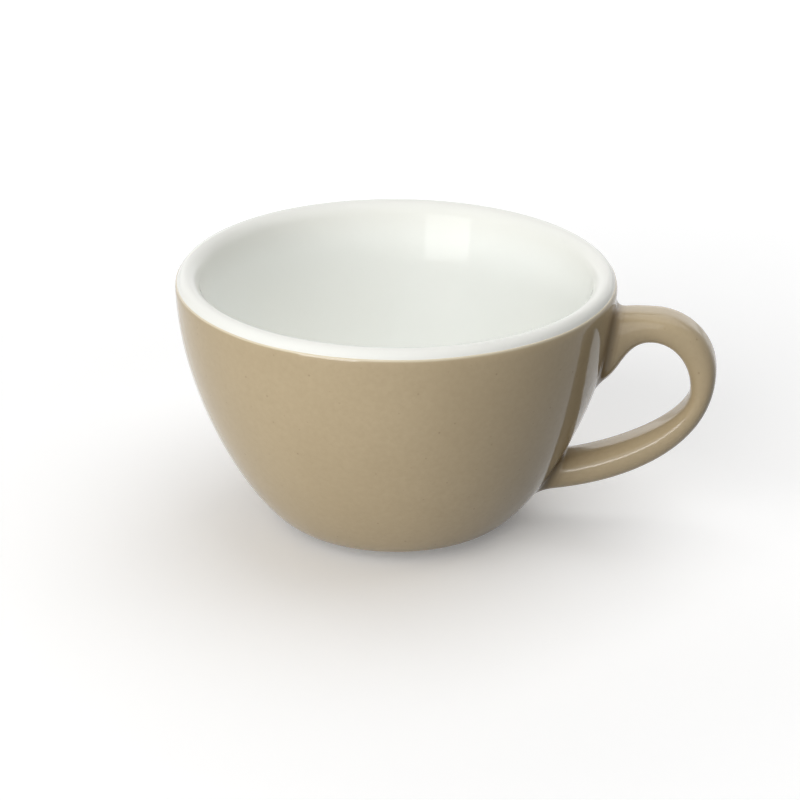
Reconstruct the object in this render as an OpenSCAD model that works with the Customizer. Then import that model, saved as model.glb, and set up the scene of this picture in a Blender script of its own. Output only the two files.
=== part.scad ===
// Flat white cup: a footed porcelain bowl with a luted strap handle, white inside and taupe outside.
// The origin is on the bowl's axis at the table, +Z is up and the handle points along +X.

/* [Bowl] */
// Diameter across the rim, over the glaze
rim_d = 89; // [82:0.5:98]
// Height from the table to the top of the rim
cup_h = 54; // [48:0.5:62]
// Thickness of the lip
lip_w = 5; // [4.2:0.1:6]
// Width of the rounded outer edge of the lip
lip_out_w = 2.2; // [1.6:0.1:2.8]
// Height of the rounded outer edge of the lip
lip_out_h = 3; // [2.2:0.1:4]
// Drop from the rim to the line where the white coat ends
white_drop = 1.5; // [0.8:0.1:2]
// Height of the rounded inner edge of the lip
lip_in_h = 3.4; // [2.2:0.1:5]
// Lean of the upper wall from the vertical, in degrees
wall_lean = 0.7; // [0:0.1:5]
// Length over which the upper wall holds its direction
wall_run = 25.5; // [22:0.5:29]
// Diameter where the flank turns level above the foot
base_d = 50; // [45:0.5:55]
// Length over which the flank turns level
base_run = 3; // [2:0.2:6]
// Height of the inside floor above the table
floor_h = 7; // [6:0.1:9]
// Lean of the inner wall below the lip from the vertical, in degrees
inner_lean = 13.5; // [9:0.5:18]
// Length over which the inner wall holds its direction
inner_run = 20; // [16:0.5:24]
// Length over which the floor turns up into the inner wall
floor_run = 28; // [24:0.5:31]

/* [Foot] */
// Outer diameter of the foot ring
foot_d = 38; // [34:0.5:44]
// Width of the foot ring
foot_w = 2.6; // [2:0.1:4]
// Height of the flank above the table, which the foot ring lifts clear
foot_h = 2.4; // [1.6:0.1:3]
// Bevel on both edges of the foot ring
foot_bevel = 0.4; // [0.2:0.1:0.6]
// Depth of the recess inside the foot ring
recess_h = 2.4; // [1.6:0.1:3]
// Radius of the glaze that pools in the corner of the recess
recess_cove = 0.8; // [0.4:0.1:1.1]

/* [Glaze] */
// Thickness of every glaze coat
glaze_t = 0.35; // [0.2:0.05:0.5]

/* [Handle] */
// Reach of the handle beyond the rim
handle_reach = 20.7; // [18:0.1:26]
// Drop from the rim to the top of the handle
handle_drop = 5.4; // [4.4:0.1:8]
// Fall of the upper arm's top from its crest to the wall
crest_fall = 0.5; // [0:0.1:2]
// Distance from the rim to the crest of the upper arm
crest_run = 7.8; // [6:0.1:9]
// Drop from the top of the handle to its outermost point
side_drop = 12.8; // [11:0.1:16]
// Drop from the top of the handle to the outermost point of the finger gap
gap_drop = 16.1; // [14:0.1:19]
// Thickness of the strap at its crest
crest_t = 6.2; // [5:0.1:8]
// Thickness of the strap at its outermost point
side_t = 5; // [4:0.1:6.5]
// Width of the strap
strap_w = 9.4; // [8:0.1:11]
// Flatness of the strap's faces, where 2 is an ellipse
face_power = 3.6; // [2.4:0.2:6]
// Squareness of the strap's sides, where 2 is an ellipse
side_power = 2; // [1.8:0.1:3]

/* [Handle roots] */
// Height of the upper root on the wall, with its tail
upper_root_h = 15; // [13:0.1:19]
// Width of the upper root
upper_root_w = 11; // [9:0.1:13]
// Length of the tail's underside
tail_run = 4.4; // [3:0.1:6]
// Rise of the tail's underside
tail_rise = 1.6; // [0.5:0.1:3]
// Height above the table of the underside of the lower root
lower_root_z = 7.8; // [6:0.1:9]
// Height of the lower root on the wall
lower_root_h = 7.8; // [7:0.1:10]
// Width of the lower root
lower_root_w = 10.4; // [9:0.1:12]
// Lean of the lower arm's underside at the wall, in degrees
lower_out_lean = 9; // [0:0.5:20]
// Lean of the lower arm's top at the wall, in degrees
lower_in_lean = 11.5; // [5:0.5:25]
// Length over which the strap's outside heads down from its outermost point
out_side_run = 14; // [10:0.1:18]
// Length over which the strap's outside heads out from the wall
out_root_run = 21.2; // [14:0.1:25]
// Length over which the finger gap heads down from its outermost point
in_side_run = 7.8; // [5:0.1:11]
// Length over which the finger gap heads out from the wall
in_root_run = 7.9; // [5:0.1:12]
// Size of the slip fillets around both roots
fillet = 2.1; // [1.4:0.1:3]

/* [Hidden] */

// Smoothness: steps on the bowl's curves, its lip, and along and around the strap
curve_steps = 32;
lip_steps = 8;
strap_steps = 9;
fillet_steps = 5;
cap_steps = 3;
ring_steps = 32;
$fn = 96;

// Colours of the fired pieces
porcelain = [0.93, 0.91, 0.86];
white_coat = [0.95, 0.95, 0.93];
taupe_coat = [0.66, 0.59, 0.47];

rim_r = rim_d / 2;
foot_r = foot_d / 2;
recess_r = foot_r - foot_w;
lip_r = rim_r - lip_out_w;
lip_in_w = lip_w - lip_out_w;
handle_top = cup_h - handle_drop;

// A cubic curve through four control points, and its direction
function curve(c, t) =
    pow(1 - t, 3) * c[0] + 3 * pow(1 - t, 2) * t * c[1] + 3 * (1 - t) * t * t * c[2] + pow(t, 3) * c[3];
function heading(c, t) =
    pow(1 - t, 2) * (c[1] - c[0]) + 2 * (1 - t) * t * (c[2] - c[1]) + t * t * (c[3] - c[2]);
function unit(v) = v / norm(v);
function between(a, b, n) = [for (i = [1:n - 1]) a + (b - a) * i / n];
function reversed(list) = [for (i = [len(list) - 1:-1:0]) list[i]];

// Points of a profile curve, sunk to a depth on its right-hand side
function sunk(c, depth) = [
    for (i = [0:curve_steps])
        let (t = i / curve_steps, h = unit(heading(c, t)))
        curve(c, t) + depth * [h[1], -h[0]]
];

// A point at an angle on the lip, which is rounded by a quarter of an ellipse on each side of its top
function lip_point(a, depth) =
    let (
        w = (a > 90 ? lip_in_w : lip_out_w) - depth,
        h = a > 90 ? lip_in_h : lip_out_h
    )
    [lip_r + w * cos(a), cup_h - h + (h - depth) * sin(a)];

// Where the leaning inner wall runs into the rounded lip: the angle on the lip and the point
lip_start = 180 - atan(tan(inner_lean) * lip_in_h / lip_in_w);
inner_top = lip_point(lip_start, 0);

// Profiles of the glazed surfaces, in radius and height
inner_curve = [
    [0, floor_h],
    [floor_run, floor_h],
    inner_top - inner_run * [sin(inner_lean), cos(inner_lean)],
    inner_top
];
flank_curve = [
    [rim_r, cup_h - lip_out_h],
    [rim_r - wall_run * sin(wall_lean), cup_h - lip_out_h - wall_run * cos(wall_lean)],
    [base_d / 2 + base_run, foot_h],
    [base_d / 2, foot_h]
];

// The white and taupe surfaces at a depth below the glaze, which meet on the outside of the lip
line_angle = asin(1 - white_drop / lip_out_h);
function lip(from, to, depth) = [for (a = between(from, to, lip_steps)) lip_point(a, depth)];
function white_skin(depth) = concat(
    sunk(inner_curve, depth),
    lip(lip_start, 90, depth),
    [lip_point(90, depth)],
    lip(90, line_angle, depth),
    [lip_point(line_angle, depth)]
);
function outside_skin(depth) = concat(
    [lip_point(line_angle, depth)],
    lip(line_angle, 0, depth),
    sunk(flank_curve, depth)
);
function taupe_skin(depth) = concat(outside_skin(depth), [[foot_r, foot_h + depth]]);

// Radius of the outside of the bowl at a height, on the glaze or on the porcelain under it
glazed_wall = [for (p = outside_skin(0)) [p[1], p[0]]];
bare_wall = [for (p = outside_skin(glaze_t)) [p[1], p[0]]];
function wall_r(z, depth) = lookup(z, depth > 0 ? bare_wall : glazed_wall);
function seat(p, depth) = [sqrt(pow(wall_r(p[2], depth), 2) - p[1] * p[1]), p[1], p[2]];

// Outline of the handle seen from the side, in three stretches: upper arm, shoulder and lower arm
arc_run = 4 / 3 * tan(90 / 4);
crest_out = [rim_r + crest_run, handle_top];
side_out = [rim_r + handle_reach, handle_top - side_drop];
crest_in = crest_out - [0, crest_t];
side_in = [side_out[0] - side_t, handle_top - gap_drop];
function at_wall(z) = [wall_r(z, 0), z];
upper_out = at_wall(handle_top - crest_fall);
upper_in = at_wall(handle_top - crest_fall - upper_root_h);
lower_out = at_wall(lower_root_z);
lower_in = at_wall(lower_root_z + lower_root_h);
upper_bend = [(upper_out[0] + crest_out[0]) / 2, handle_top];
tail = upper_in + [tail_run, tail_rise];

// A quarter of an ellipse from a level start to an upright end
function quarter(a, b) = [
    a,
    [a[0] + arc_run * (b[0] - a[0]), a[1]],
    [b[0], b[1] + arc_run * (a[1] - b[1])],
    b
];
outside = [
    [upper_out, upper_bend, upper_bend, crest_out],
    quarter(crest_out, side_out),
    [side_out, side_out - [0, out_side_run],
     lower_out + out_root_run * [cos(lower_out_lean), sin(lower_out_lean)], lower_out]
];
inside = [
    [upper_in, tail, [tail[0], crest_in[1]], crest_in],
    quarter(crest_in, side_in),
    [side_in, side_in - [0, in_side_run],
     lower_in + in_root_run * [cos(lower_in_lean), sin(lower_in_lean)], lower_in]
];
strap_end = len(outside);
function outline(curves, s) =
    let (i = min(floor(s), strap_end - 1))
    curve(curves[i], s - i);
function strap_middle(s) = (outline(outside, s) + outline(inside, s)) / 2;

// Half the strap's width: wider over the upper arm and again towards the lower root
function ease(x) = x * x * (3 - 2 * x);
function half_width(s) =
    let (
        upper = ease(max(0, 1 - s)) * (upper_root_w - strap_w),
        lower = ease(max(0, s - strap_end + 1)) * (lower_root_w - strap_w)
    )
    (strap_w + upper + lower) / 2;

// One ring of points around the strap, at a depth below its glaze
function rounded(x, power) = sign(x) * pow(abs(x), 2 / power);
function ring(s, depth) =
    let (
        o = outline(outside, s),
        i = outline(inside, s),
        m = (o + i) / 2,
        h = unit(o - i) * (norm(o - i) / 2 - depth),
        w = half_width(s) - depth
    )
    [for (k = [0:ring_steps - 1])
        let (
            a = 360 * k / ring_steps,
            u = m + h * rounded(cos(a), side_power)
        )
        [u[0], w * rounded(sin(a), face_power), u[1]]];
function seated(points, depth) = [for (p = points) seat(p, depth)];

// Where the slip fillets end on the strap, and the stations of its rings
upper_joint_end = fillet / norm(strap_middle(1) - strap_middle(0));
lower_joint_end = strap_end - fillet / norm(strap_middle(strap_end) - strap_middle(strap_end - 1));
strap_stations = concat(
    between(upper_joint_end, 1, strap_steps),
    [1],
    between(1, 2, strap_steps),
    [2],
    between(2, lower_joint_end, 2 * strap_steps)
);

// The ring where an end of the strap stands on the wall
function root_ring(s, depth) = seated(ring(s, depth), depth);

// The edge of a slip fillet on the wall, and the rings of its hollow face from there to the strap
function fillet_edge(s, depth) = seated(ring(s, depth - fillet), depth);
function fillet_rings(s, joint_end, depth) =
    let (
        edge = fillet_edge(s, depth),
        root = root_ring(s, depth),
        strap = ring(joint_end, depth)
    )
    [for (i = [0:fillet_steps])
        let (t = i / fillet_steps)
        [for (k = [0:ring_steps - 1])
            pow(1 - t, 2) * edge[k] + 2 * (1 - t) * t * root[k] + t * t * strap[k]]];

// A surface through rings, either closed into a loop or left open for caps
function grid_faces(n, closed) = [
    for (i = [0:n - (closed ? 1 : 2)], k = [0:ring_steps - 1])
        let (
            a = i * ring_steps,
            b = ((i + 1) % n) * ring_steps,
            j = (k + 1) % ring_steps
        )
        each [[a + k, b + k, b + j], [a + k, b + j, a + j]]
];
module looped(rings) {
    polyhedron([for (r = rings) each r], grid_faces(len(rings), true));
}
module capped(rings) {
    n = len(rings);
    last = (n - 1) * ring_steps;
    middle = n * ring_steps;
    ends = [for (r = [rings[0], rings[n - 1]]) seat([0, 0, (r[0][2] + r[ring_steps / 2][2]) / 2], glaze_t)];
    caps = [
        for (k = [0:ring_steps - 1])
            let (j = (k + 1) % ring_steps)
            each [[middle, k, j], [middle + 1, last + j, last + k]]
    ];
    polyhedron(concat([for (r = rings) each r], ends), concat(grid_faces(n, false), caps));
}

// Rings that close an end of the strap on the porcelain wall, from its middle outwards
function cap_rings(s) =
    let (
        root = ring(s, glaze_t),
        m = [root[0][0], 0, (root[0][2] + root[ring_steps / 2][2]) / 2]
    )
    [for (i = [1:cap_steps - 1])
        seated([for (p = root) m + (p - m) * i / cap_steps], glaze_t)];

// The porcelain bowl with its foot ring, bare where no coat covers it
module bowl_body() {
    color(porcelain)
        rotate_extrude()
            polygon(concat(
                white_skin(glaze_t),
                taupe_skin(glaze_t),
                [
                    [foot_r, foot_bevel],
                    [foot_r - foot_bevel, 0],
                    [recess_r + foot_bevel, 0],
                    [recess_r, foot_bevel],
                    [recess_r, recess_h + glaze_t],
                    [0, recess_h + glaze_t]
                ]
            ));
}

// The cast strap, ending on the porcelain wall at both roots
module handle_body() {
    stations = concat([upper_joint_end], strap_stations, [lower_joint_end]);
    color(porcelain)
        capped(concat(
            cap_rings(0),
            [root_ring(0, glaze_t)],
            [for (s = stations) ring(s, glaze_t)],
            [root_ring(strap_end, glaze_t)],
            reversed(cap_rings(strap_end))
        ));
}

// Rings around a collar of slip: up its hollow face to the strap, then straight back to the wall
function collar_rings(s, joint_end) = concat(
    fillet_rings(s, joint_end, glaze_t),
    [root_ring(s, glaze_t)]
);

// The collars of slip that lute the strap to the wall
module upper_slip_joint() {
    color(porcelain)
        looped(collar_rings(0, upper_joint_end));
}
module lower_slip_joint() {
    color(porcelain)
        looped(reversed(collar_rings(strap_end, lower_joint_end)));
}

// A turned coat between the glazed surface and the porcelain
module coat(surface, under) {
    rotate_extrude()
        polygon(concat(surface, reversed(under)));
}

// The white coat inside the bowl and over its lip
module inner_glaze() {
    color(white_coat)
        coat(white_skin(0), white_skin(glaze_t));
}

// The opening in the bowl's coat where a root of the handle stands on the porcelain
module root_opening(s) {
    edge = [for (p = fillet_edge(s, 0)) [p[1], p[2]]];
    rotate([90, 0, 90])
        linear_extrude(rim_r + fillet)
            polygon(edge);
}

// The taupe coat on the flank of the bowl
module outer_glaze() {
    color(taupe_coat)
        difference() {
            coat(taupe_skin(0), taupe_skin(glaze_t));
            root_opening(0);
            root_opening(strap_end);
        }
}

// All rings of the handle's surface from wall to wall, at a depth below its glaze
function handle_skin(depth) = concat(
    fillet_rings(0, upper_joint_end, depth),
    [for (s = strap_stations) ring(s, depth)],
    reversed(fillet_rings(strap_end, lower_joint_end, depth))
);

// The taupe coat on the handle and on both slip joints, meeting the bowl's coat at its openings
module handle_glaze() {
    color(taupe_coat)
        looped(concat(
            handle_skin(0),
            [seated(fillet_edge(strap_end, 0), glaze_t)],
            reversed(handle_skin(glaze_t)),
            [seated(fillet_edge(0, 0), glaze_t)]
        ));
}

// The coat in the recess under the floor, pooled in its corner
module base_glaze() {
    cove = [
        for (i = [0:lip_steps])
            let (a = 90 * i / lip_steps)
            [recess_r, recess_h] + recess_cove * [sin(a) - 1, cos(a) - 1]
    ];
    color(taupe_coat)
        rotate_extrude()
            polygon(concat(
                [[0, recess_h]],
                cove,
                [[recess_r, recess_h + glaze_t], [0, recess_h + glaze_t]]
            ));
}

bowl_body();
handle_body();
upper_slip_joint();
lower_slip_joint();
inner_glaze();
outer_glaze();
handle_glaze();
base_glaze();
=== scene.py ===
"""The flat white cup as it looks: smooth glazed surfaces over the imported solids, on a pale studio floor."""
import math

import bmesh
import bpy
import numpy as np
from mathutils import Matrix, Quaternion, Vector


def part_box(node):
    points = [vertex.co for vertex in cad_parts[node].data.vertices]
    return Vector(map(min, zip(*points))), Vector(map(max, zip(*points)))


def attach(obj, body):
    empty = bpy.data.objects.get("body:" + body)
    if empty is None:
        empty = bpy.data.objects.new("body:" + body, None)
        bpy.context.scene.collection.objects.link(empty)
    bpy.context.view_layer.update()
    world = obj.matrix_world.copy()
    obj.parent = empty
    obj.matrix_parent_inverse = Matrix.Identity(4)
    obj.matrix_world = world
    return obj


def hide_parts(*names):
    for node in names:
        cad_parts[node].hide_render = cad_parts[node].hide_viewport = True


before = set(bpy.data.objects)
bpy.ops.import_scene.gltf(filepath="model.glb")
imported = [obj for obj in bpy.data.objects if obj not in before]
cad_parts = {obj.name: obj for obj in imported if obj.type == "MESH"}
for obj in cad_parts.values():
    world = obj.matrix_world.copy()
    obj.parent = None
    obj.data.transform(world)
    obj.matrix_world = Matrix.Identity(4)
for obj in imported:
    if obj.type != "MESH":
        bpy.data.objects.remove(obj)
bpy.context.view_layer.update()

MM = 0.001

# Bowl, as in the part's source
RIM_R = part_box("outer_glaze")[1].x
CUP_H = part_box("inner_glaze")[1].z
LIP_W = 5 * MM
LIP_OUT_W = 2.2 * MM
LIP_IN_W = LIP_W - LIP_OUT_W
LIP_OUT_H = 3.0 * MM
LIP_IN_H = 3.4 * MM
WHITE_DROP = 1.5 * MM
INNER_LEAN = math.radians(13.5)
INNER_RUN = 20 * MM
FLOOR_RUN = 28 * MM
FLOOR_H = 7 * MM
WALL_LEAN = math.radians(0.7)
WALL_RUN = 25.5 * MM
BASE_R = 25 * MM
BASE_RUN = 3 * MM
FOOT_R = 19 * MM
FOOT_W = 2.6 * MM
FOOT_H = 2.4 * MM
FOOT_BEVEL = 0.4 * MM
RECESS_H = 2.4 * MM
RECESS_COVE = 0.8 * MM
RECESS_R = FOOT_R - FOOT_W
GLAZE_T = 0.35 * MM

# Handle
HANDLE_TOP = CUP_H - 5.4 * MM
HANDLE_REACH = 20.7 * MM
CREST_FALL = 0.5 * MM
CREST_RUN = 7.8 * MM
SIDE_DROP = 12.8 * MM
GAP_DROP = 16.1 * MM
CREST_T = 6.2 * MM
SIDE_T = 5 * MM
STRAP_W = 9.4 * MM
FACE_POWER = 3.6
SIDE_POWER = 2
UPPER_ROOT_H = 15 * MM
UPPER_ROOT_W = 11 * MM
TAIL_RUN = 4.4 * MM
TAIL_RISE = 1.6 * MM
LOWER_ROOT_Z = 7.8 * MM
LOWER_ROOT_H = 7.8 * MM
LOWER_ROOT_W = 10.4 * MM
LOWER_OUT_LEAN = math.radians(9)
LOWER_IN_LEAN = math.radians(11.5)
OUT_SIDE_RUN = 14 * MM
OUT_ROOT_RUN = 21.2 * MM
IN_SIDE_RUN = 7.8 * MM
IN_ROOT_RUN = 7.9 * MM
FILLET = 2.1 * MM

# Photograph's camera: distance and height of its aim, direction, lens, and turns about its own axes
CAMERA_AIM = Vector((0, 0, 54.1 * MM))
CAMERA_FAR = 400.5 * MM
CAMERA_AZIMUTH = math.radians(10)
CAMERA_RISE = math.radians(20.54)
CAMERA_LENS = 89.21
CAMERA_ROLL = math.radians(0.31)
CAMERA_PITCH = math.radians(-3.86)
CAMERA_YAW = math.radians(-0.104)


def add_camera():
    back = Vector((
        math.sin(CAMERA_AZIMUTH) * math.cos(CAMERA_RISE),
        -math.cos(CAMERA_AZIMUTH) * math.cos(CAMERA_RISE),
        math.sin(CAMERA_RISE),
    ))
    right = Vector((math.cos(CAMERA_AZIMUTH), math.sin(CAMERA_AZIMUTH), 0))
    up = back.cross(right)
    turn = Matrix((right, up, back)).transposed()
    turn = turn @ Matrix.Rotation(CAMERA_ROLL, 3, "Z")
    turn = turn @ Matrix.Rotation(CAMERA_PITCH, 3, "X")
    turn = turn @ Matrix.Rotation(CAMERA_YAW, 3, "Y")
    camera = bpy.data.cameras.new("camera")
    camera.lens = CAMERA_LENS
    camera.sensor_width = 36
    camera.clip_start = 0.01
    camera.clip_end = 50
    obj = bpy.data.objects.new("camera", camera)
    obj.matrix_world = Matrix.Translation(CAMERA_AIM + CAMERA_FAR * back) @ turn.to_4x4()
    bpy.context.scene.collection.objects.link(obj)
    bpy.context.scene.camera = obj


# Curves in radius and height


def curve(c, t):
    c = np.asarray(c, float)
    t = np.asarray(t, float)[..., None]
    return (1 - t) ** 3 * c[0] + 3 * (1 - t) ** 2 * t * c[1] + 3 * (1 - t) * t ** 2 * c[2] + t ** 3 * c[3]


def heading(c, t):
    c = np.asarray(c, float)
    t = np.asarray(t, float)[..., None]
    h = (1 - t) ** 2 * (c[1] - c[0]) + 2 * (1 - t) * t * (c[2] - c[1]) + t ** 2 * (c[3] - c[2])
    return h / np.linalg.norm(h, axis=-1, keepdims=True)


def sunk(c, t, depth):
    h = heading(c, t)
    return curve(c, t) + depth * np.stack((h[..., 1], -h[..., 0]), axis=-1)


def unit(v):
    return v / np.linalg.norm(v, axis=-1, keepdims=True)


def ease(x):
    x = np.clip(x, 0, 1)
    return x * x * (3 - 2 * x)


LIP_R = RIM_R - LIP_OUT_W


def lip_point(angle, depth):
    w = (LIP_IN_W if angle > math.pi / 2 else LIP_OUT_W) - depth
    h = LIP_IN_H if angle > math.pi / 2 else LIP_OUT_H
    return np.array((LIP_R + w * math.cos(angle), CUP_H - h + (h - depth) * math.sin(angle)))


LIP_START = math.pi - math.atan(math.tan(INNER_LEAN) * LIP_IN_H / LIP_IN_W)
LINE_ANGLE = math.asin(1 - WHITE_DROP / LIP_OUT_H)
INNER_TOP = lip_point(LIP_START, 0)
INNER_CURVE = np.array((
    (0, FLOOR_H),
    (FLOOR_RUN, FLOOR_H),
    INNER_TOP - INNER_RUN * np.array((math.sin(INNER_LEAN), math.cos(INNER_LEAN))),
    INNER_TOP,
))
FLANK_CURVE = np.array((
    (RIM_R, CUP_H - LIP_OUT_H),
    (RIM_R - WALL_RUN * math.sin(WALL_LEAN), CUP_H - LIP_OUT_H - WALL_RUN * math.cos(WALL_LEAN)),
    (BASE_R + BASE_RUN, FOOT_H),
    (BASE_R, FOOT_H),
))

# The outside from the top of the lip down to the foot ring, as a fine line with its length so far
OUTSIDE = np.concatenate((
    [lip_point(a, 0) for a in np.linspace(math.radians(85), 0, 90)],
    curve(FLANK_CURVE, np.linspace(0, 1, 600))[1:],
    np.linspace((BASE_R, FOOT_H), (FOOT_R, FOOT_H), 30)[1:],
))
OUTSIDE_RUN = np.concatenate(([0], np.cumsum(np.linalg.norm(np.diff(OUTSIDE, axis=0), axis=1))))
OUTSIDE_WAY = unit(np.gradient(OUTSIDE, axis=0))


def outside_at(run):
    return np.stack((
        np.interp(run, OUTSIDE_RUN, OUTSIDE[:, 0]),
        np.interp(run, OUTSIDE_RUN, OUTSIDE[:, 1]),
    ), axis=-1)


def outside_way(run):
    return unit(np.stack((
        np.interp(run, OUTSIDE_RUN, OUTSIDE_WAY[:, 0]),
        np.interp(run, OUTSIDE_RUN, OUTSIDE_WAY[:, 1]),
    ), axis=-1))


def run_at(z):
    return np.interp(-np.asarray(z, float), -OUTSIDE[:, 1], OUTSIDE_RUN)


def wall_r(z):
    return np.interp(-np.asarray(z, float), -OUTSIDE[:, 1], OUTSIDE[:, 0])


# Handle: its outline from the side in three stretches, and the strap's rings along it


def at_wall(z):
    return np.array((wall_r(z), z))


def quarter(a, b):
    run = 4 / 3 * math.tan(math.pi / 8)
    return np.array((a, (a[0] + run * (b[0] - a[0]), a[1]), (b[0], b[1] + run * (a[1] - b[1])), b))


def leaning(angle):
    return np.array((math.cos(angle), math.sin(angle)))


CREST_OUT = np.array((RIM_R + CREST_RUN, HANDLE_TOP))
SIDE_OUT = np.array((RIM_R + HANDLE_REACH, HANDLE_TOP - SIDE_DROP))
CREST_IN = CREST_OUT - (0, CREST_T)
SIDE_IN = np.array((SIDE_OUT[0] - SIDE_T, HANDLE_TOP - GAP_DROP))
UPPER_OUT = at_wall(HANDLE_TOP - CREST_FALL)
UPPER_IN = at_wall(HANDLE_TOP - CREST_FALL - UPPER_ROOT_H)
LOWER_OUT = at_wall(LOWER_ROOT_Z)
LOWER_IN = at_wall(LOWER_ROOT_Z + LOWER_ROOT_H)
UPPER_BEND = np.array(((UPPER_OUT[0] + CREST_OUT[0]) / 2, HANDLE_TOP))
TAIL = UPPER_IN + (TAIL_RUN, TAIL_RISE)
OUTLINE_OUT = (
    (UPPER_OUT, UPPER_BEND, UPPER_BEND, CREST_OUT),
    quarter(CREST_OUT, SIDE_OUT),
    (SIDE_OUT, SIDE_OUT - (0, OUT_SIDE_RUN), LOWER_OUT + OUT_ROOT_RUN * leaning(LOWER_OUT_LEAN), LOWER_OUT),
)
OUTLINE_IN = (
    (UPPER_IN, TAIL, (TAIL[0], CREST_IN[1]), CREST_IN),
    quarter(CREST_IN, SIDE_IN),
    (SIDE_IN, SIDE_IN - (0, IN_SIDE_RUN), LOWER_IN + IN_ROOT_RUN * leaning(LOWER_IN_LEAN), LOWER_IN),
)
STRAP_END = 3


def outline_at(outline, s):
    piece = min(int(s), STRAP_END - 1)
    return curve(outline[piece], s - piece)


def strap_middle(s):
    return (outline_at(OUTLINE_OUT, s) + outline_at(OUTLINE_IN, s)) / 2


def rounded(x, power):
    return np.sign(x) * np.abs(x) ** (2 / power)


def strap_ring(s, angles, depth=0):
    """Points around the strap, the first on its outer side, at a place from 0 at the upper root to 3"""
    out = outline_at(OUTLINE_OUT, s)
    inner = outline_at(OUTLINE_IN, s)
    across = (out - inner) / 2
    across = across * (1 - depth / np.linalg.norm(across))
    half = (
        STRAP_W
        + ease(1 - s) * (UPPER_ROOT_W - STRAP_W)
        + ease(s - 2) * (LOWER_ROOT_W - STRAP_W)
    ) / 2 - depth
    flat = (out + inner) / 2 + rounded(np.cos(angles), SIDE_POWER)[:, None] * across
    return np.stack((flat[:, 0], half * rounded(np.sin(angles), FACE_POWER), flat[:, 1]), axis=-1)


def seated(points):
    """The same points set on the outside of the bowl"""
    x = np.sqrt(wall_r(points[:, 2]) ** 2 - points[:, 1] ** 2)
    return np.stack((x, points[:, 1], points[:, 2]), axis=-1)


def wall_normal(points):
    way = outside_way(run_at(points[:, 2]))
    around = unit(points[:, :2])
    return np.concatenate((around * -way[:, 1:], way[:, :1]), axis=1)


UPPER_END = FILLET / np.linalg.norm(strap_middle(1) - strap_middle(0))
LOWER_END = STRAP_END - FILLET / np.linalg.norm(strap_middle(STRAP_END) - strap_middle(STRAP_END - 1))

# Meshes


def add_mesh(name, verts, faces, marks=None):
    mesh = bpy.data.meshes.new(name)
    mesh.from_pydata([tuple(v) for v in verts], [], faces)
    for key, values in (marks or {}).items():
        layer = mesh.attributes.new(key, "FLOAT", "POINT")
        layer.data.foreach_set("value", np.asarray(values, np.float32))
    mesh.polygons.foreach_set("use_smooth", [True] * len(mesh.polygons))
    mesh.update()
    obj = bpy.data.objects.new(name, mesh)
    bpy.context.scene.collection.objects.link(obj)
    return obj


def revolve(name, profile, turns, marks=None):
    """A closed solid of revolution from a profile that starts and ends on the axis"""
    inner = profile[1:-1]
    count = len(inner)
    around = np.linspace(0, 2 * math.pi, turns, endpoint=False)
    verts = [(0, 0, profile[0][1])]
    for a in around:
        verts += [(r * math.cos(a), r * math.sin(a), z) for r, z in inner]
    verts.append((0, 0, profile[-1][1]))
    last = len(verts) - 1
    faces = []
    for j in range(turns):
        here = 1 + j * count
        there = 1 + (j + 1) % turns * count
        faces.append((0, there, here))
        for i in range(count - 1):
            faces.append((here + i, there + i, there + i + 1, here + i + 1))
        faces.append((here + count - 1, there + count - 1, last))
    spread = {}
    for key, values in (marks or {}).items():
        spread[key] = [values[0]] + list(values[1:-1]) * turns + [values[-1]]
    obj = add_mesh(name, verts, faces, spread)
    face_outward(obj)
    return obj


def face_outward(obj):
    bm = bmesh.new()
    bm.from_mesh(obj.data)
    bmesh.ops.recalc_face_normals(bm, faces=bm.faces)
    bm.to_mesh(obj.data)
    bm.free()


def thicken(obj, thickness):
    """Turns an open surface into a closed coat that reaches inwards from it"""
    shell = obj.modifiers.new("coat", "SOLIDIFY")
    shell.thickness = thickness
    shell.offset = -1
    shell.use_even_offset = False
    bpy.context.view_layer.update()
    shown = obj.evaluated_get(bpy.context.evaluated_depsgraph_get())
    mesh = bpy.data.meshes.new_from_object(shown)
    obj.modifiers.clear()
    obj.data = mesh


# Taupe coat: the outside of the bowl and the handle in one skin

PATCH_COLUMNS = 28
PATCH_ROWS = 36
PATCH_HALF = math.radians(20)
OPEN_COLUMNS = 216
UPPER_PATCH = (51.75 * MM, 28 * MM)
LOWER_PATCH = (20.6 * MM, 3.6 * MM)
PATCH_STEPS = 8
FILLET_STEPS = 12
ROLL = 0.2 * MM
ROLL_ANGLES = (80, 60, 40, 20)
LINE_SHARES = (0, 0.2, 0.45, 0.7)
THIN_REACH = 0.22 * MM
POOL_AND_SHADE_REACH = 10 * MM
MIDDLE_ROWS = 12
FOOT_ROWS = 28
AHEAD = 0.02

# Count, height and phase of each wave of the colour line around the bowl
GLAZE_WAVES = (
    (1, 0.1 * MM, -0.3),
    (2, 0.05 * MM, 1.1),
    (5, 0.03 * MM, 0.4),
    (9, 0.022 * MM, 2.0),
    (17, 0.014 * MM, 0.0),
)


def glaze_wave(theta):
    """How far the taupe coat's upper edge runs above or below its line"""
    return sum(high * np.cos(count * theta + phase) for count, high, phase in GLAZE_WAVES)


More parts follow.
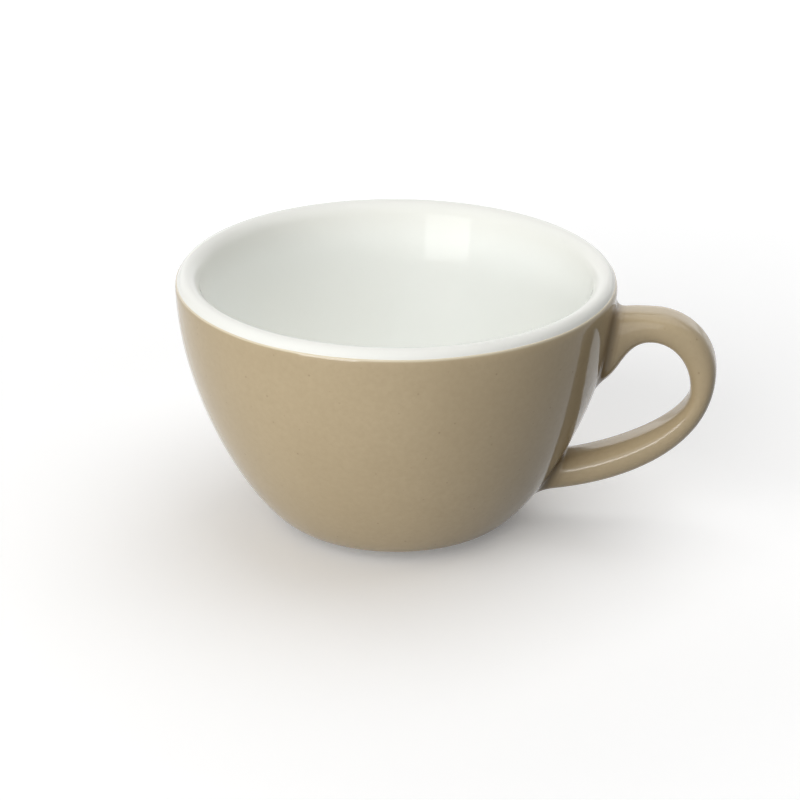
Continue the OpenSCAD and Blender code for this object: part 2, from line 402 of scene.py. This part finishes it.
def taupe_surface():
    """Points, faces and marks of the outside skin, with the handle drawn out of two patches of it"""
    columns = np.concatenate((
        np.linspace(-PATCH_HALF, PATCH_HALF, PATCH_COLUMNS + 1),
        np.linspace(PATCH_HALF, 2 * math.pi - PATCH_HALF, OPEN_COLUMNS + 1)[1:-1],
    ))
    upper = [float(v) for v in run_at(UPPER_PATCH)]
    lower = [float(v) for v in run_at(LOWER_PATCH)]
    foot = OUTSIDE_RUN[-1]
    runs = np.concatenate((
        np.linspace(upper[0], upper[1], PATCH_ROWS + 1),
        np.linspace(upper[1], lower[0], MIDDLE_ROWS + 1)[1:],
        np.linspace(lower[0], lower[1], PATCH_ROWS + 1)[1:],
        np.linspace(lower[1], foot, FOOT_ROWS + 1)[1:],
    ))
    line = run_at(CUP_H - WHITE_DROP - 0.85 * ROLL) - glaze_wave(columns)
    verts, thin, pool_and_shade = [], [], []
    rows = []

    def add_row(points, thin_value, pool_and_shade_value):
        start = len(verts)
        verts.extend(points)
        thin.extend([thin_value] * len(points))
        pool_and_shade.extend([pool_and_shade_value] * len(points))
        rows.append(list(range(start, len(verts))))

    def turned(profile):
        r, z = profile[:, 0], profile[:, 1]
        return np.stack((r * np.cos(columns), r * np.sin(columns), z), axis=-1)

    def thin_at(far):
        return math.exp(-(far / THIN_REACH) ** 2)

    way = outside_way(line)
    out = np.stack((-way[:, 1], way[:, 0]), axis=-1)
    for angle in np.radians(ROLL_ANGLES):
        rolled = outside_at(line) - ROLL * (math.sin(angle) * way + (1 - math.cos(angle)) * out)
        add_row(turned(rolled), 1, 0)
    for share in LINE_SHARES:
        run = line + share * (upper[0] - line)
        add_row(turned(outside_at(run)), thin_at(share * (upper[0] - line.mean())), 0)
    patch_top = len(rows)
    for run in runs:
        # Painted shade and glaze pooling darken the skin towards the foot
        shade_near_foot = ease((run - foot + POOL_AND_SHADE_REACH) / POOL_AND_SHADE_REACH)
        level = np.tile(outside_at(run), (len(columns), 1))
        add_row(turned(level), thin_at(run - line.mean()), shade_near_foot)

    upper_rows = (patch_top, patch_top + PATCH_ROWS)
    lower_rows = (upper_rows[1] + MIDDLE_ROWS, upper_rows[1] + MIDDLE_ROWS + PATCH_ROWS)
    faces = []
    total = len(columns)
    for i in range(len(rows) - 1):
        for j in range(total):
            inside_patch = j < PATCH_COLUMNS and any(a <= i < b for a, b in (upper_rows, lower_rows))
            if not inside_patch:
                n = (j + 1) % total
                faces.append((rows[i][j], rows[i + 1][j], rows[i + 1][n], rows[i][n]))

    # The edge of a patch as a loop from the middle of its first side, and each point's place on the square
    middle = PATCH_COLUMNS // 2
    loop = (
        [(j, 0) for j in range(middle, PATCH_COLUMNS)]
        + [(PATCH_COLUMNS, i) for i in range(PATCH_ROWS)]
        + [(j, PATCH_ROWS) for j in range(PATCH_COLUMNS, 0, -1)]
        + [(0, i) for i in range(PATCH_ROWS, 0, -1)]
        + [(j, 0) for j in range(middle)]
    )
    square = np.array([(j / middle - 1, 1 - 2 * i / PATCH_ROWS) for j, i in loop])
    angles = np.arctan2(
        np.sign(square[:, 0]) * np.abs(square[:, 0]) ** (FACE_POWER / 2),
        np.sign(square[:, 1]) * np.abs(square[:, 1]) ** (SIDE_POWER / 2),
    )

    def add_ring(points, pool_and_shade_value):
        start = len(verts)
        verts.extend(points)
        thin.extend([0] * len(points))
        pool_and_shade.extend([pool_and_shade_value] * len(points))
        return list(range(start, len(verts)))

    def rooted(s, joint_end, edge):
        """Rings from a patch's edge over the wall and up the fillet to the strap, and their marks of glaze
        pooling and painted shade
        """
        start = np.array([verts[k] for k in edge])
        foot_line = seated(strap_ring(s, angles, -FILLET))
        root = seated(strap_ring(s, angles))
        strap = strap_ring(joint_end, angles)
        ahead = strap_ring(joint_end + (AHEAD if s == 0 else -AHEAD), angles)
        start_at = np.arctan2(start[:, 1], start[:, 0])
        foot_at = np.arctan2(foot_line[:, 1], foot_line[:, 0])
        rings = []
        # Painted shade and glaze pooling rise over the wall towards the fillet
        for step in range(1, PATCH_STEPS + 1):
            f = step / PATCH_STEPS
            turn = start_at + f * (foot_at - start_at)
            z = start[:, 2] + f * (foot_line[:, 2] - start[:, 2])
            r = wall_r(z)
            rings.append((np.stack((r * np.cos(turn), r * np.sin(turn), z), axis=-1), 0.25 * f ** 3))
        normal = wall_normal(foot_line)
        along = root - foot_line
        along = along - normal * (along * normal).sum(axis=1, keepdims=True)
        back = unit(strap - ahead) * np.linalg.norm(root - strap, axis=1, keepdims=True)
        bend = (foot_line, foot_line + 2 / 3 * along, strap + 2 / 3 * back, strap)
        for step in range(1, FILLET_STEPS + 1):
            f = step / FILLET_STEPS
            # Painted shade and glaze pooling are darkest midway up the fillet's crease
            pooled_and_shaded = 0.25 + 0.75 * math.sin(math.pi * min(1, f + 0.1)) if f < 0.9 else 0.2
            rings.append((curve(np.array(bend), np.full(len(strap), f)), pooled_and_shaded))
        return rings

    upper_edge = [rows[upper_rows[0] + i][j] for j, i in loop]
    lower_edge = [rows[lower_rows[1] - i][j] for j, i in loop]
    stations = np.concatenate((
        np.linspace(UPPER_END, 1, 19)[1:],
        np.linspace(1, 2, 41)[1:],
        np.linspace(2, LOWER_END, 53)[1:-1],
    ))
    chain = [upper_edge]
    chain += [add_ring(points, mark) for points, mark in rooted(0, UPPER_END, upper_edge)]
    chain += [add_ring(strap_ring(s, angles), 0) for s in stations]
    chain += [add_ring(points, mark) for points, mark in reversed(rooted(STRAP_END, LOWER_END, lower_edge))]
    chain.append(lower_edge)
    count = len(angles)
    for near, far in zip(chain, chain[1:]):
        for k in range(count):
            n = (k + 1) % count
            faces.append((near[k], near[n], far[n], far[k]))
    return verts, faces, {"thin": thin, "pool_and_shade": pool_and_shade}


def add_taupe_coat():
    verts, faces, marks = taupe_surface()
    obj = add_mesh("taupe_coat", verts, faces, marks)
    face_outward(obj)
    if sum(p.normal.x * p.center.x + p.normal.y * p.center.y for p in obj.data.polygons) < 0:
        obj.data.flip_normals()
    thicken(obj, GLAZE_T)
    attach(obj, "root")
    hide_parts("outer_glaze", "handle_glaze")
    return obj


# White coat: inside and over the lip, where it runs thinner, down under the taupe coat's edge

LIP_SHADE_REACH = 9 * MM
LIP_SHADE_FULL = 1.2 * MM
LINE_SINK = 0.1 * MM
TUCK_SINK = 0.16 * MM
TUCK_SHARE = 0.75


def add_white_coat():
    t = np.linspace(0, 1, 110)
    over = [(a, 0) for a in np.linspace(LIP_START, math.pi / 2, 26)[1:]]
    for f in np.linspace(0, 1, 30)[1:]:
        over.append((math.pi / 2 + f * (LINE_ANGLE - math.pi / 2), LINE_SINK * ease(f)))
    for f in np.linspace(0, 1, 8)[1:]:
        over.append((LINE_ANGLE * (1 - TUCK_SHARE * f), LINE_SINK + TUCK_SINK * f))
    face = np.concatenate((curve(INNER_CURVE, t), [lip_point(a, d) for a, d in over]))
    under = np.concatenate((
        sunk(INNER_CURVE, t, GLAZE_T),
        [lip_point(a, GLAZE_T) for a, _ in over],
    ))
    profile = np.concatenate((face, under[::-1]))
    # Painted shade: the share of a darker white, rising towards the lip
    edge = ease((profile[:, 1] - CUP_H + LIP_SHADE_REACH) / (LIP_SHADE_REACH - LIP_SHADE_FULL))
    obj = revolve("white_coat", profile, 240, {"edge": edge})
    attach(obj, "root")
    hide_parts("inner_glaze")
    return obj


# Porcelain bowl under both coats, bare at its turned foot ring


def arc(centre, radius, start, end, steps=6):
    turns = np.radians(np.linspace(start, end, steps + 1))
    return [(centre[0] + radius * math.cos(a), centre[1] + radius * math.sin(a)) for a in turns]


def add_porcelain_bowl():
    t = np.linspace(0, 1, 60)
    lip = [lip_point(a, GLAZE_T) for a in np.linspace(LIP_START, 0, 24)[1:-1]]
    foot = (
        [(FOOT_R, FOOT_H + GLAZE_T), (FOOT_R, FOOT_H * 0.7)]
        + arc((FOOT_R - FOOT_BEVEL, FOOT_BEVEL), FOOT_BEVEL, 0, -90)
        + [(FOOT_R - FOOT_W / 2, 0)]
        + arc((RECESS_R + FOOT_BEVEL, FOOT_BEVEL), FOOT_BEVEL, -90, -180)
        + [(RECESS_R, RECESS_H * 0.7), (RECESS_R, RECESS_H + GLAZE_T), (0, RECESS_H + GLAZE_T)]
    )
    profile = np.concatenate((sunk(INNER_CURVE, t, GLAZE_T), lip, sunk(FLANK_CURVE, t, GLAZE_T), foot))
    obj = revolve("porcelain_bowl", profile, 160)
    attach(obj, "root")
    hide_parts("bowl_body")
    return obj


# Coat in the recess inside the foot ring, darker towards its edge with painted shade and glaze pooling

RECESS_SHADE_REACH = 1.2 * MM


def add_recess_coat():
    cove = [
        (RECESS_R + RECESS_COVE * (math.sin(a) - 1), RECESS_H + RECESS_COVE * (math.cos(a) - 1))
        for a in np.linspace(0, math.pi / 2, 12)
    ]
    flat = np.linspace((0, RECESS_H), cove[0], 16)[:-1]
    back = [(RECESS_R, RECESS_H + GLAZE_T), (0, RECESS_H + GLAZE_T)]
    profile = np.concatenate((flat, cove, back))
    # Painted shade and glaze pooling darken the cove at the recess's edge
    edge = np.clip((profile[:, 0] - RECESS_R + RECESS_SHADE_REACH) / RECESS_SHADE_REACH, 0, 1)
    obj = revolve("recess_coat", profile, 120, {"thin": 0 * edge, "pool_and_shade": 0.5 * edge})
    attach(obj, "root")
    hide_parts("base_glaze")
    return obj


# Materials


class Nodes:
    """A material's node tree, with short calls to add and join nodes"""

    def __init__(self, name):
        self.material = bpy.data.materials.new(name)
        self.material.use_nodes = True
        self.tree = self.material.node_tree
        self.shader = self.tree.nodes["Principled BSDF"]
        self.place = self.add("ShaderNodeTexCoord").outputs["Object"]

    def add(self, kind, **settings):
        node = self.tree.nodes.new(kind)
        for key, value in settings.items():
            setattr(node, key, value)
        return node

    def join(self, source, target):
        self.tree.links.new(source, target)

    def noise(self, scale, detail=2.0, roughness=0.5):
        node = self.add("ShaderNodeTexNoise")
        node.inputs["Scale"].default_value = scale
        node.inputs["Detail"].default_value = detail
        node.inputs["Roughness"].default_value = roughness
        self.join(self.place, node.inputs["Vector"])
        return node.outputs["Fac"]

    def spots(self, scale, randomness=1.0):
        node = self.add("ShaderNodeTexVoronoi")
        node.inputs["Scale"].default_value = scale
        node.inputs["Randomness"].default_value = randomness
        self.join(self.place, node.inputs["Vector"])
        return node

    def spread(self, source, low, high, to_low=0.0, to_high=1.0):
        node = self.add("ShaderNodeMapRange")
        for key, value in zip(("From Min", "From Max", "To Min", "To Max"), (low, high, to_low, to_high)):
            node.inputs[key].default_value = value
        self.join(source, node.inputs["Value"])
        return node.outputs["Result"]

    def times(self, a, b):
        node = self.add("ShaderNodeMath", operation="MULTIPLY")
        self.join(a, node.inputs[0])
        if isinstance(b, float):
            node.inputs[1].default_value = b
        else:
            self.join(b, node.inputs[1])
        return node.outputs[0]

    def most(self, a, b):
        node = self.add("ShaderNodeMath", operation="MAXIMUM")
        self.join(a, node.inputs[0])
        self.join(b, node.inputs[1])
        return node.outputs[0]

    def mix(self, share, a, b):
        node = self.add("ShaderNodeMix", data_type="RGBA")
        self.join(share, node.inputs[0])
        for value, socket in ((a, node.inputs[6]), (b, node.inputs[7])):
            if isinstance(value, tuple):
                socket.default_value = (*value, 1)
            else:
                self.join(value, socket)
        return node.outputs[2]

    def mark(self, name):
        return self.add("ShaderNodeAttribute", attribute_name=name).outputs["Fac"]

    def bump(self, height, strength, distance, below=None):
        node = self.add("ShaderNodeBump")
        node.inputs["Strength"].default_value = strength
        node.inputs["Distance"].default_value = distance
        self.join(height, node.inputs["Height"])
        if below is not None:
            self.join(below, node.inputs["Normal"])
        return node.outputs["Normal"]

    def finish(self, colour, roughness, normal):
        self.join(colour, self.shader.inputs["Base Color"])
        self.join(roughness, self.shader.inputs["Roughness"])
        self.join(normal, self.shader.inputs["Normal"])
        return self.material


def linear(red, green, blue):
    return tuple(
        v / 255 / 12.92 if v <= 10 else ((v / 255 + 0.055) / 1.055) ** 2.4 for v in (red, green, blue)
    )


def taupe_material():
    n = Nodes("taupe_glaze")
    # Faint clouds and a fine grain
    cloud = n.spread(n.noise(38, 2.0), 0.3, 0.7)
    base = n.mix(cloud, linear(181, 163, 131), linear(187, 169, 137))
    grain = n.spread(n.noise(900, 2.0, 0.6), 0.3, 0.75)
    base = n.mix(n.times(grain, 0.35), base, linear(172, 154, 122))
    # A few dark specks
    dots = n.spots(1100)
    rare = n.spread(dots.outputs["Color"], 0.86, 0.9)
    small = n.spread(dots.outputs["Distance"], 0.12, 0.3, 1.0, 0.0)
    base = n.mix(n.times(n.times(rare, small), 0.4), base, linear(132, 111, 82))
    # Darker with painted shade and glaze pooling in the fillets, near the foot and in the recess's cove;
    # paler where the glaze runs thin at its upper edge
    base = n.mix(n.times(n.mark("pool_and_shade"), 0.8), base, linear(124, 106, 79))
    base = n.mix(n.times(n.mark("thin"), 0.75), base, linear(232, 222, 197))
    # Gloss with a slight peel and slow waves
    rough = n.spread(n.noise(120, 3.0), 0.3, 0.7, 0.06, 0.1)
    peel = n.bump(n.noise(420, 1.0), 0.05, 0.15 * MM)
    waves = n.bump(n.noise(70, 1.0), 0.12, 0.3 * MM, peel)
    n.shader.inputs["IOR"].default_value = 1.5
    n.shader.inputs["Specular IOR Level"].default_value = 0.25
    return n.finish(base, rough, waves)


def white_material():
    n = Nodes("white_glaze")
    # Faint clouds, and painted shade: a darker, creamier white towards the lip
    cloud = n.spread(n.noise(30, 2.0), 0.3, 0.7)
    base = n.mix(cloud, linear(250, 251, 246), linear(248, 250, 246))
    base = n.mix(n.times(n.mark("edge"), 0.9), base, linear(240, 240, 234))
    # A few pale specks
    dots = n.spots(700)
    rare = n.spread(dots.outputs["Color"], 0.95, 0.97)
    small = n.spread(dots.outputs["Distance"], 0.05, 0.2, 1.0, 0.0)
    base = n.mix(n.times(n.times(rare, small), 0.3), base, linear(205, 200, 186))
    # Gloss with a slight peel and slow waves
    rough = n.spread(n.noise(90, 3.0), 0.3, 0.7, 0.015, 0.03)
    peel = n.bump(n.noise(300, 1.0), 0.012, 0.15 * MM)
    waves = n.bump(n.noise(60, 1.0), 0.05, 0.3 * MM, peel)
    n.shader.inputs["IOR"].default_value = 1.5
    n.shader.inputs["Specular IOR Level"].default_value = 0.075
    return n.finish(base, rough, waves)


def porcelain_material():
    n = Nodes("porcelain")
    # Faint clouds and a sandy grain
    cloud = n.spread(n.noise(60, 3.0), 0.3, 0.7)
    base = n.mix(cloud, linear(236, 231, 219), linear(228, 222, 208))
    grain = n.noise(2600, 3.0, 0.7)
    base = n.mix(n.times(n.spread(grain, 0.55, 0.8), 0.4), base, linear(205, 196, 178))
    rough = n.spread(grain, 0.3, 0.7, 0.55, 0.75)
    sand = n.bump(grain, 0.25, 0.1 * MM)
    # Fine rings left by turning
    rings = n.add("ShaderNodeTexWave", wave_type="RINGS", rings_direction="Z")
    rings.inputs["Scale"].default_value = 900
    rings.inputs["Distortion"].default_value = 1.2
    n.join(n.place, rings.inputs["Vector"])
    turned = n.bump(rings.outputs["Fac"], 0.2, 0.06 * MM, sand)
    n.shader.inputs["IOR"].default_value = 1.5
    return n.finish(base, rough, turned)


# Floor: grey for bounced light, with a painted shadow that makes it darker on the cup's right; pale where it
# is seen, and lifted to white away from the cup
FLOOR_SIZE = 6
FLOOR_BOUNCE_LEFT = (0.56, 0.56, 0.56)
FLOOR_BOUNCE_PAINTED_SHADOW = (0.16, 0.16, 0.16)
FLOOR_SHADOW_TURN = (0, 60 * MM)
FLOOR_NEAR = 0.1
FLOOR_FAR = 0.9
FLOOR_LIFT = (0.14, 0.55)


def floor_material():
    n = Nodes("pale_floor")
    cloud = n.spread(n.noise(3, 2.0), 0.3, 0.7)
    base = n.mix(cloud, linear(252, 252, 252), linear(250, 250, 250))
    path = n.add("ShaderNodeLightPath")
    seen = n.most(path.outputs["Is Camera Ray"], path.outputs["Is Glossy Ray"])
    seen = n.most(seen, path.outputs["Is Transmission Ray"])
    side = n.add("ShaderNodeVectorMath", operation="DOT_PRODUCT")
    n.join(n.place, side.inputs[0])
    side.inputs[1].default_value = (math.cos(CAMERA_AZIMUTH), math.sin(CAMERA_AZIMUTH), 0)
    # Painted shadow: the floor's bounced light turns darker across the view towards the cup's right
    shade = n.spread(side.outputs["Value"], *FLOOR_SHADOW_TURN)
    base = n.mix(seen, n.mix(shade, FLOOR_BOUNCE_LEFT, FLOOR_BOUNCE_PAINTED_SHADOW), base)
    far = n.add("ShaderNodeVectorMath", operation="LENGTH")
    n.join(n.place, far.inputs[0])
    lift = n.spread(far.outputs["Value"], FLOOR_NEAR, FLOOR_FAR, *FLOOR_LIFT)
    n.join(n.times(seen, lift), n.shader.inputs["Emission Strength"])
    n.shader.inputs["Emission Color"].default_value = (1, 1, 1, 1)
    grain = n.noise(500, 2.0)
    rough = n.spread(grain, 0.3, 0.7, 0.7, 0.85)
    n.shader.inputs["Specular IOR Level"].default_value = 0.2
    return n.finish(base, rough, n.bump(grain, 0.05, 0.05 * MM))


def dress(obj, material):
    obj.data.materials.clear()
    obj.data.materials.append(material)


# Studio: a floor, a low softbox in front on the left, a large key above it, and large lights above and behind


WORLD_FILL = 0.07
SOFTBOX_AIM = Vector((11 * MM, 37 * MM, 47 * MM))
CUP_MIDDLE = Vector((0, 0, 30 * MM))


def beside_camera(right, away, up):
    """A point given as the camera sees the floor plan: to its right, away from it, and up"""
    c, s = math.cos(CAMERA_AZIMUTH), math.sin(CAMERA_AZIMUTH)
    return Vector((right * c - away * s, right * s + away * c, up))


def around_camera(azimuth, rise, far):
    """A point by its angle to the right of the camera's side, its rise above the floor and its distance"""
    a, e = math.radians(azimuth), math.radians(rise)
    flat = far * math.cos(e)
    return beside_camera(flat * math.sin(a), -flat * math.cos(a), far * math.sin(e))


def add_lamp(name, place, aim, width, height, radiance, roll=0):
    lamp = bpy.data.lights.new(name, "AREA")
    lamp.shape = "RECTANGLE"
    lamp.size = width
    lamp.size_y = height
    lamp.energy = radiance * math.pi * width * height
    obj = bpy.data.objects.new(name, lamp)
    obj.location = place
    turn = (aim - place).to_track_quat("-Z", "Y") @ Quaternion((0, 0, 1), math.radians(roll))
    obj.rotation_euler = turn.to_euler()
    bpy.context.scene.collection.objects.link(obj)


def add_floor():
    bpy.ops.mesh.primitive_grid_add(x_subdivisions=24, y_subdivisions=24, size=FLOOR_SIZE)
    floor = bpy.context.object
    floor.name = "studio_floor"
    dress(floor, floor_material())


def add_world():
    world = bpy.data.worlds.new("studio")
    world.use_nodes = True
    nodes, links = world.node_tree.nodes, world.node_tree.links
    sky = nodes["Background"]
    sky.inputs["Color"].default_value = (1, 1, 1, 1)
    path = nodes.new("ShaderNodeLightPath")
    seen = path.outputs["Is Camera Ray"]
    for name in ("Is Glossy Ray", "Is Transmission Ray"):
        most = nodes.new("ShaderNodeMath")
        most.operation = "MAXIMUM"
        links.new(seen, most.inputs[0])
        links.new(path.outputs[name], most.inputs[1])
        seen = most.outputs[0]
    level = nodes.new("ShaderNodeMapRange")
    level.inputs["To Min"].default_value = WORLD_FILL
    level.inputs["To Max"].default_value = 1
    links.new(seen, level.inputs["Value"])
    links.new(level.outputs["Result"], sky.inputs["Strength"])
    bpy.context.scene.world = world


def add_studio():
    add_lamp(
        "softbox", beside_camera(-0.292, -0.461, 0.103), SOFTBOX_AIM,
        width=0.281, height=0.09, radiance=10.5, roll=5.5,
    )
    add_lamp("left_key", around_camera(-35, 30, 1.4), CUP_MIDDLE, width=1.6, height=1.2, radiance=2.05)
    add_lamp("top_light", around_camera(122, 74, 1.3), CUP_MIDDLE, width=1.4, height=1.4, radiance=1.68)
    add_lamp("back_panel", around_camera(180, 25, 1.2), CUP_MIDDLE, width=2.2, height=0.8, radiance=0.85)
    add_world()
    bpy.context.scene.view_settings.view_transform = "Standard"


add_camera()
taupe = taupe_material()
porcelain = porcelain_material()
dress(add_taupe_coat(), taupe)
dress(add_white_coat(), white_material())
dress(add_porcelain_bowl(), porcelain)
dress(add_recess_coat(), taupe)
for node in ("handle_body", "upper_slip_joint", "lower_slip_joint"):
    dress(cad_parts[node], porcelain)
add_floor()
add_studio()
